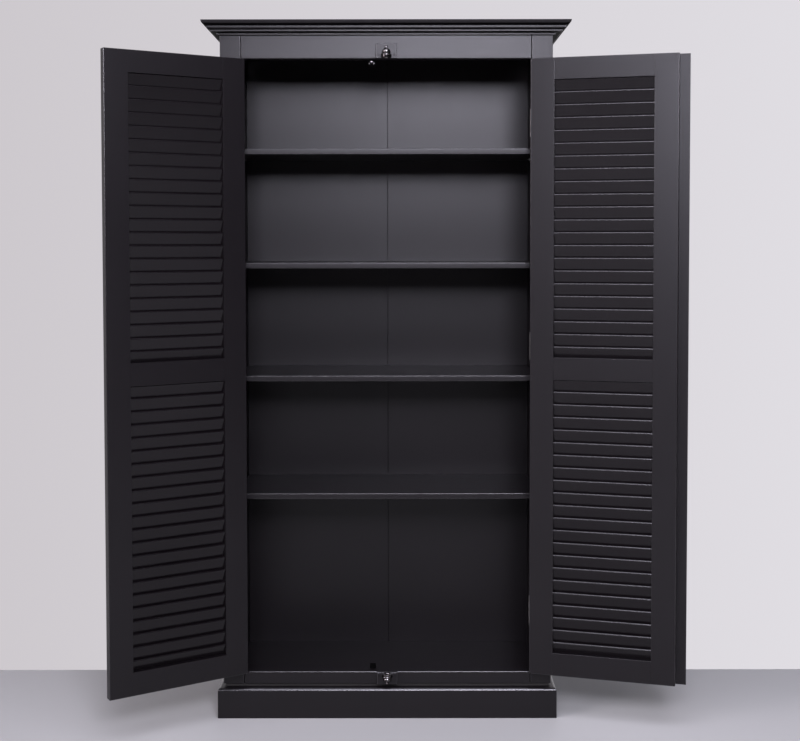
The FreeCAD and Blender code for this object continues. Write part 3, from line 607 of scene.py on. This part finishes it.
def hingeLeaf(spec, side, z, onDoor):
    hingeY, faceY = doorSet["hingeY"], carcass["faceY"]
    low, high = z - spec["tall"] / 2, z + spec["tall"] / 2
    if onDoor:
        x0 = doorSet["edge"] - spec["letIn"]
        x1 = x0 + spec["thick"]
        z0, z1 = z + spec["gap"] / 2, high
    else:
        x0 = carcass["openHalf"] + spec["letIn"]
        x1 = x0 - spec["thick"]
        z0, z1 = low, z - spec["gap"] / 2
    plate = board(side * x0, side * x1, faceY, faceY + spec["deep"], low, high)
    web = board(side * x0, side * x1, hingeY, faceY + spec["webLap"],
                z0 + spec["webGap"], z1 - spec["webGap"])
    r, e, tall = spec["knuckleR"], spec["round"], z1 - z0
    outline = [(0, 0)] + footRounding(r, e) + arc((r - e, tall - e), e, 0, 90, 4) + [(0, tall)]
    axisX = side * doorSet["hingeX"]
    shells = [plate, web, turned(outline, (axisX, hingeY, z0), (0, 0, 1), spec["knuckleSides"])]
    if not onDoor:
        shoulder, crown = (high - z1 + rise for rise in spec["pinRise"])
        pin = [(0, 0), (spec["pinR"], 0), (spec["pinR"], shoulder), (0, crown)]
        shells.append(turned(pin, (axisX, hingeY, z1), (0, 0, 1), spec["pinSides"]))
    out = side if onDoor else -side
    screwY = faceY + spec["deep"] * spec["screwShare"]
    for rise in spec["screwRise"]:
        shells.append(screwHead((side * x1, screwY, z + rise), (out, 0, 0), spec["screwR"]))
    return shells


def hinges(spec):
    frameShells = []
    for side, name in doorSet["names"].items():
        doorShells = []
        for z in spec["heights"]:
            frameShells += hingeLeaf(spec, side, z, False)
            doorShells += hingeLeaf(spec, side, z, True)
        makePiece(name + "Hinges.door", doorShells, name + "_door", [nickel],
                  [name + "_hinge_door_leaves"], side=side)
    makePiece("hinges.frame", frameShells, "cabinet", [nickel], ["hinge_frame_leaves"])


hinges(hingeSet)
print("hinges:", 2 * len(hingeSet["heights"]))


# meeting strip with the bolt on its face
stripSet = {"half": 25.0, "frontY": -187.5, "round": 3.0, "roundSteps": 6, "lapY": -177.9, "bevel": 0.8}
boltSet = {
    "rodY": -199.5, "rodHalf": 4.65, "knobZ": 1210.0,
    "guideZ": (200.0, 682.0, 1728.0), "guideTall": 16.0, "guideHalf": 7.5, "guideCorner": 2.0,
    "guideFoot": 17.0, "guideFootT": 3.0, "guideBevel": 0.7, "guideScrewR": 2.6,
    "caseHalf": 23.0, "caseTall": 92.0, "caseFrontY": -213.5, "caseSlope": 5.0, "caseBevel": 1.2,
    "caseScrewRise": (-34.0, 34.0), "caseScrewR": 3.0,
    "knobD": 36.0, "knobL": 34.0, "knobGap": 0.5, "knobSides": 8, "knobBevel": 1.0, "knobBevelSteps": 3,
    "knobShares": [(0.46, 0), (0.38, 0.30), (0.86, 0.62), (1, 0.72), (1, 0.82), (0.78, 1)], "crownRise": 0.6,
    "neckR": 5.25, "neckDeep": 10.0, "neckSides": 24, "spindleHalf": 3.5, "spindlePast": 5.5, "lap": 0.5,
}


def meetingStrip(spec):
    half, r, front, steps = spec["half"], spec["round"], spec["frontY"], spec["roundSteps"]
    plan = arc((half - r, front + r), r, 0, -90, steps) + arc((r - half, front + r), r, -90, -180, steps)
    plan += [(-half, spec["lapY"]), (doorSet["meeting"], spec["lapY"]),
             (doorSet["meeting"], carcass["faceY"]), (half, carcass["faceY"])]
    strip = upright(plan, doorSet["bottom"], doorSet["top"])
    makePiece("meetingStrip", [strip], "right_door", painted, ["meeting_strip"],
              spec["bevel"], side=1)


def boltGear(spec):
    front, rodY, half, knobZ = stripSet["frontY"], spec["rodY"], spec["rodHalf"], spec["knobZ"]
    towards = (0, -1, 0)
    guides, screws = [], []
    g, foot, k = spec["guideHalf"], spec["guideFoot"], spec["guideCorner"]
    footY = front - spec["guideFootT"]
    outer = [(foot, front), (foot, footY), (g, footY), (g, rodY - g + k), (g - k, rodY - g)]
    outer += [(-x, y) for x, y in outer[::-1]]
    inner = [(-half, front), (-half, rodY - half), (half, rodY - half), (half, front)]
    for z in spec["guideZ"]:
        guides.append(upright(outer + inner, z - spec["guideTall"] / 2, z + spec["guideTall"] / 2))
        for side in (-1, 1):
            screws.append(screwHead((side * (g + foot) / 2, footY, z), towards, spec["guideScrewR"]))
    makePiece("rodGuides", guides, "right_door", [satinNickel], ["rod_guides"],
              spec["guideBevel"], side=1)
    low, high = knobZ - spec["caseTall"] / 2, knobZ + spec["caseTall"] / 2
    c, slope, caseY = spec["caseHalf"], spec["caseSlope"], spec["caseFrontY"]
    stations = []
    for y, inset in ((front, 0), (caseY + slope, 0), (caseY, slope)):
        stations.append([(-c + inset, y, low + inset), (c - inset, y, low + inset),
                         (c - inset, y, high - inset), (-c + inset, y, high - inset)])
    makePiece("boltCase", [carried(stations)], "right_door", [satinNickel], ["bolt_case"],
              spec["caseBevel"], side=1)
    for rise in spec["caseScrewRise"]:
        screws.append(screwHead((0, caseY, knobZ + rise), towards, spec["caseScrewR"]))
    makePiece("boltScrews", screws, "right_door", [nickel], side=1)
    seat = (0, caseY - spec["knobGap"], knobZ)
    halfSide = math.pi / spec["knobSides"]
    corner = 1 / math.cos(halfSide)  # the width is measured across the flats
    outline = [(share * spec["knobD"] / 2 * corner, h * spec["knobL"]) for share, h in spec["knobShares"]]
    outline = [(0, 0)] + outline + [(0, spec["knobL"] + spec["crownRise"])]
    head = turned(outline, seat, towards, spec["knobSides"], halfSide)
    r, deep, lap = spec["neckR"], spec["neckDeep"], spec["lap"]
    neck = turned([(0, -deep), (r, -deep), (r, lap), (0, lap)], seat, towards, spec["neckSides"])
    s = spec["spindleHalf"]
    spindle = board(-s, s, rodY - spec["spindlePast"], front - lap, knobZ - s, knobZ + s)
    makePiece("boltKnob", [head, neck, spindle], "bolt_turn", [polished], ["bolt_knob"],
              spec["knobBevel"], spec["knobBevelSteps"], side=1)


meetingStrip(stripSet)
boltGear(boltSet)
print("bolt: strip, case, knob,", len(boltSet["guideZ"]), "guides")


# keepers on their blocks, each with its mouth's height, way, share of the full height and block's far edge
keeperSet = {
    "blockHalf": 28.5, "blockT": 10.0, "blockBevel": 2.0, "axisY": -199.5,
    "boreR": 6.8, "boreDepth": 17.0, "lipDeep": 1.0, "lipWide": 0.8, "footR": 13.5, "footRound": 1.0,
    "rimR": 15.4, "rimZ": 7.5, "rimRound": 2.2, "rimTurn": (-75, 75),
    "domeR": 11.6, "domeZ": 16.6, "domeTall": 9.6, "domeTurn": (-40, 64),
    "neckR": 2.7, "neckZ": 26.0, "ballR": 3.7, "ballZ": 29.6, "ballTurn": (-48, 90),
    "steps": {"rim": 9, "dome": 14, "ball": 10}, "sides": 36, "sharp": 50,
    "screwX": 21.0, "screwRise": 10.0, "screwR": 3.0,
    "ends": {"top": (carcass["openTop"], 1, 1.0, 1842.0),
             "bottom": (carcass["openBottom"], -1, 0.86, carcass["baseTop"])},
    "brightFrom": {"top": -0.05, "bottom": 0.45},
}


# a foot, a half-round rim, an egg r = R cos t, h = Z + T sin t, and a ball on its neck
def keeperOutline(spec, tall):
    steps, bore, deep = spec["steps"], spec["boreR"], spec["boreDepth"]
    outline = [(0, deep), (bore, deep), (bore, spec["lipDeep"]), (bore + spec["lipWide"], 0)]
    outline += footRounding(spec["footR"], spec["footRound"])
    rimCentre = (spec["rimR"] - spec["rimRound"], spec["rimZ"] * tall)
    outline += arc(rimCentre, spec["rimRound"], *spec["rimTurn"], steps["rim"])
    t = np.radians(np.linspace(*spec["domeTurn"], steps["dome"]))
    heights = (spec["domeZ"] + spec["domeTall"] * np.sin(t)) * tall
    outline += np.stack([spec["domeR"] * np.cos(t), heights], -1).tolist()
    outline.append((spec["neckR"], spec["neckZ"] * tall))
    return outline + arc((0, spec["ballZ"] * tall), spec["ballR"], *spec["ballTurn"], steps["ball"])


def keepers(spec):
    faceY = carcass["faceY"]
    front = faceY - spec["blockT"]
    screws = []
    for name, (mouthZ, way, tall, farZ) in spec["ends"].items():
        block = board(-spec["blockHalf"], spec["blockHalf"], front, faceY, *sorted((mouthZ, farZ)))
        makePiece("keeperBlock." + name, [block], "cabinet", paintedAcross,
                  ["keeper_block_" + name], spec["blockBevel"])
        cup, faces = turned(keeperOutline(spec, tall), (0, spec["axisY"], mouthZ), (0, 0, way), spec["sides"])
        cup[:, 1] = np.minimum(cup[:, 1], front)  # flat against the block
        # faces turned up past brightFrom take the polished nickel where the glints show, the rest the darker
        # nickel as painted shade
        makePiece("keeperCup." + name, [(cup, faces)], "cabinet", [shadedNickel, polished],
                  ["keepers"], sharp=spec["sharp"], flat=False,
                  paintedLightPick=lambda normals: normals[:, 2] > spec["brightFrom"][name])
        for side in (-1, 1):
            place = (side * spec["screwX"], front, mouthZ + way * spec["screwRise"])
            screws.append(screwHead(place, (0, -1, 0), spec["screwR"]))
    makePiece("keeperScrews", screws, "cabinet", [paintWall])


keepers(keeperSet)

# the left door's stops, each with its edge's height, way, far end and reach past the edge
stopSet = {
    "x": -40.0, "half": 8.0, "thick": 18.0, "bevel": 1.0,
    "ends": [(carcass["openTop"], 1, carcass["openTop"] + 23.0, 14.0),
             (carcass["openBottom"], -1, carcass["floorTop"], 9.0)],
    "padR": 6.5, "padGap": 0.3, "padRound": 0.7, "padDish": [(0, 0.5), (0.5, 0.4)], "padLap": 1.0,
    "padSides": 24,
    "ringHalf": (7.2, 5.0), "ringR": 0.95, "ringDrop": 8.0, "ringLap": 0.4, "ringSteps": (32, 10),
}


def doorStops(spec):
    backY, padY = carcass["frameBackY"], doorSet["backY"] + spec["padGap"]
    r, e, padEnd = spec["padR"], spec["padRound"], backY - padY + spec["padLap"]
    outline = [(r * share, h) for share, h in spec["padDish"]]
    outline += footRounding(r, e) + [(r, padEnd), (0, padEnd)]
    blocks, pads = [], []
    for edgeZ, way, farZ, reach in spec["ends"]:
        nearZ = edgeZ - way * reach
        blocks.append(board(spec["x"] - spec["half"], spec["x"] + spec["half"], backY, backY + spec["thick"],
                            *sorted((nearZ, farZ))))
        pads.append(turned(outline, (spec["x"], padY, nearZ + way * reach / 2), (0, 1, 0), spec["padSides"]))
    makePiece("doorStops", blocks, "cabinet", [rubber], ["door_stops"], spec["bevel"])
    makePiece("doorStopPads", pads, "cabinet", [rubber])


# an oval ring round the upper pad: (a + r cos v) cos u, (b + r cos v) sin u, r sin v
def stopRing(spec):
    m, n = spec["ringSteps"]
    i, j = np.meshgrid(np.arange(m), np.arange(n), indexing="ij")
    u, v = i * 2 * np.pi / m, j * 2 * np.pi / n
    (a, b), r = spec["ringHalf"], spec["ringR"]
    x = spec["x"] + (a - r + r * np.cos(v)) * np.cos(u)
    y = carcass["frameBackY"] - r + spec["ringLap"] + r * np.sin(v)
    z = carcass["openTop"] - spec["ringDrop"] + (b - r + r * np.cos(v)) * np.sin(u)
    nextI, nextJ = (i + 1) % m * n, (j + 1) % n
    quads = np.stack([i * n + j, nextI + j, nextI + nextJ, i * n + nextJ], -1).reshape(-1, 4)
    ring = (np.stack([x, y, z], -1).reshape(-1, 3), quads.tolist())
    makePiece("doorStopRing", [ring], "cabinet", [satinNickel], flat=False)


doorStops(stopSet)
stopRing(stopSet)
print("keepers and stops")


# camera: the photograph's viewpoint
viewpoint = {"lens": 57.38, "sensor": 36.0, "shiftY": -0.1009, "place": (0.0364, -3.6437, 1.3135),
             "tilt": 87.742, "roll": 0.064}
cameraData = bpy.data.cameras.new("photoCamera")
cameraData.lens = viewpoint["lens"]
cameraData.sensor_width = viewpoint["sensor"]
cameraData.shift_y = viewpoint["shiftY"]
camera = bpy.data.objects.new("photoCamera", cameraData)
bpy.context.scene.collection.objects.link(camera)
camera.location = viewpoint["place"]
camera.rotation_euler = (math.radians(viewpoint["tilt"]), math.radians(viewpoint["roll"]), 0)
bpy.context.scene.camera = camera


# stage: a pale ground, and behind it a pale sheet that shows only from the front
stageSet = {
    # the floor is darker on the left to even out the left panel's light (painted shade), the wall lighter
    # towards the right (painted light)
    "floorLeft": (0.485, 0.487, 0.475), "floorRight": (0.575, 0.577, 0.563),
    "floorRough": 0.6, "floorGloss": 0.1,
    "wallLeft": (0.60, 0.57, 0.60), "wallRight": (0.75, 0.73, 0.77), "toneSpan": 1.4,
    "half": 9.0, "wallY": 0.205, "high": 5.0, "fade": (1.6, 4.5),
}
surround = {"seen": (0.80, 0.80, 0.81), "light": (0.006, 0.0055, 0.006), "rear": (0.1, 0.5)}


# the share of the pale background: all of it for the camera, and what lies to the rear for metal and glass
def seenShare(tree, place):
    ray = addNode(tree, "ShaderNodeLightPath").outputs
    rearward = ranged(tree, partOf(tree, place, "Y"), 0, 1, *surround["rear"])
    mirrored = maths(tree, "MAXIMUM", ray["Is Glossy Ray"], ray["Is Transmission Ray"])
    return maths(tree, "MAXIMUM", ray["Is Camera Ray"], maths(tree, "MULTIPLY", mirrored, rearward))


# a tone that goes over from left to right: the floor darker on the left, painted shade against the left
# panel's light, and the wall lighter on the right, painted light
def sideTone(tree, left, right):
    share = ranged(tree, partOf(tree, placeAt(tree), "X"), 0, 1, -stageSet["toneSpan"], stageSet["toneSpan"])
    return blended(tree, share, left, right)


def stageSheet(name, corners):
    mesh = bpy.data.meshes.new(name)
    mesh.from_pydata(corners, [], [[0, 1, 2, 3]])
    sheet = bpy.data.objects.new(name, mesh)
    bpy.context.scene.collection.objects.link(sheet)
    finish, tree, shader = newFinish(name)
    mesh.materials.append(finish)
    return sheet, tree, shader


# away from the cabinet the ground goes over into the pale surround
def paleFloor(spec):
    half = spec["half"]
    corners = [(-half, -half, 0), (half, -half, 0), (half, half, 0), (-half, half, 0)]
    sheet, tree, shader = stageSheet("paleFloor", corners)
    tree.links.new(sideTone(tree, spec["floorLeft"], spec["floorRight"]), shader.inputs["Base Color"])
    shader.inputs["Roughness"].default_value = spec["floorRough"]
    shader.inputs["Specular IOR Level"].default_value = spec["floorGloss"]
    place = placeAt(tree)
    distance = addNode(tree, "ShaderNodeVectorMath", {0: place}, operation="LENGTH").outputs["Value"]
    far = maths(tree, "MULTIPLY", seenShare(tree, place), ranged(tree, distance, 0, 1, *spec["fade"]))
    haze = addNode(tree, "ShaderNodeEmission", {"Color": (*surround["seen"], 1)}).outputs["Emission"]
    shade = addNode(tree, "ShaderNodeMixShader", {0: far, 1: shader.outputs["BSDF"], 2: haze})
    tree.links.new(shade.outputs["Shader"], tree.nodes["Material Output"].inputs["Surface"])


def paleWall(spec):
    half, y, high = spec["half"], spec["wallY"], spec["high"]
    corners = [(-half, y, 0), (half, y, 0), (half, y, high), (-half, y, high)]
    sheet, tree, shader = stageSheet("paleWall", corners)
    tree.nodes.remove(shader)
    tone = sideTone(tree, spec["wallLeft"], spec["wallRight"])
    glow = addNode(tree, "ShaderNodeEmission", {"Color": tone}).outputs["Emission"]
    behind = addNode(tree, "ShaderNodeNewGeometry").outputs["Backfacing"]
    clear = addNode(tree, "ShaderNodeBsdfTransparent").outputs["BSDF"]
    shade = addNode(tree, "ShaderNodeMixShader", {0: behind, 1: glow, 2: clear})
    tree.links.new(shade.outputs["Shader"], tree.nodes["Material Output"].inputs["Surface"])
    sheet.visible_diffuse = False
    sheet.visible_shadow = False


paleFloor(stageSet)
paleWall(stageSet)


# light: soft panels high in front, overhead and at the left, with a weak one behind
coolTint, leftTint = (0.99, 0.965, 1.12), (1.0, 0.92, 1.0)
lampSet = {
    "frontSoftbox": {"place": (0.8, -4.2, 2.9), "aim": (0, 0, 1.5), "size": (0.8, 0.8), "power": 51,
                     "tint": coolTint},
    "frontFill": {"place": (0.0, -4.2, 2.9), "aim": (0, 0, 1.5), "size": (0.8, 0.8), "power": 20,
                  "tint": coolTint},
    "frontBand": {"place": (0.22, -4.3, 2.335), "aim": (0, 0, 1.2), "size": (1.6, 0.5), "power": 73,
                  "tint": coolTint},
    "ceilingPanel": {"place": (0, -2.4, 3.6), "aim": (0, -2.39, 0), "size": (3.5, 2.0), "power": 92,
                     "tint": coolTint},
    "leftPanel": {"place": (-5.0, -3.5, 2.6), "aim": (0, -0.3, 1.0), "size": (2.4, 2.4), "power": 184,
                  "tint": leftTint},
    "backPanel": {"place": (0.5, 4.0, 3.0), "aim": (0, 0, 1.0), "size": (3.0, 2.0), "power": 40,
                  "tint": coolTint},
}
for name, spec in lampSet.items():
    lamp = bpy.data.lights.new(name, "AREA")
    lamp.shape = "RECTANGLE"
    lamp.size, lamp.size_y = spec["size"]
    lamp.energy = spec["power"]
    lamp.color = spec["tint"]
    holder = bpy.data.objects.new(name, lamp)
    bpy.context.scene.collection.objects.link(holder)
    holder.location = spec["place"]
    gaze = np.array(spec["aim"]) - np.array(spec["place"])
    reach = math.hypot(gaze[0], gaze[1])
    holder.rotation_euler = (math.atan2(reach, -gaze[2]), 0, math.atan2(-gaze[0], gaze[1]))

world = bpy.data.worlds.new("studio")
bpy.context.scene.world = world
world.use_nodes = True
tree = world.node_tree
shade = tree.nodes["Background"]
seen = seenShare(tree, addNode(tree, "ShaderNodeTexCoord").outputs["Generated"])
tree.links.new(blended(tree, seen, surround["light"], surround["seen"]), shade.inputs["Color"])
shade.inputs["Strength"].default_value = 1.0
bpy.context.scene.view_settings.view_transform = "Standard"
print("stage, lights and camera")

bpy.context.view_layer.update()
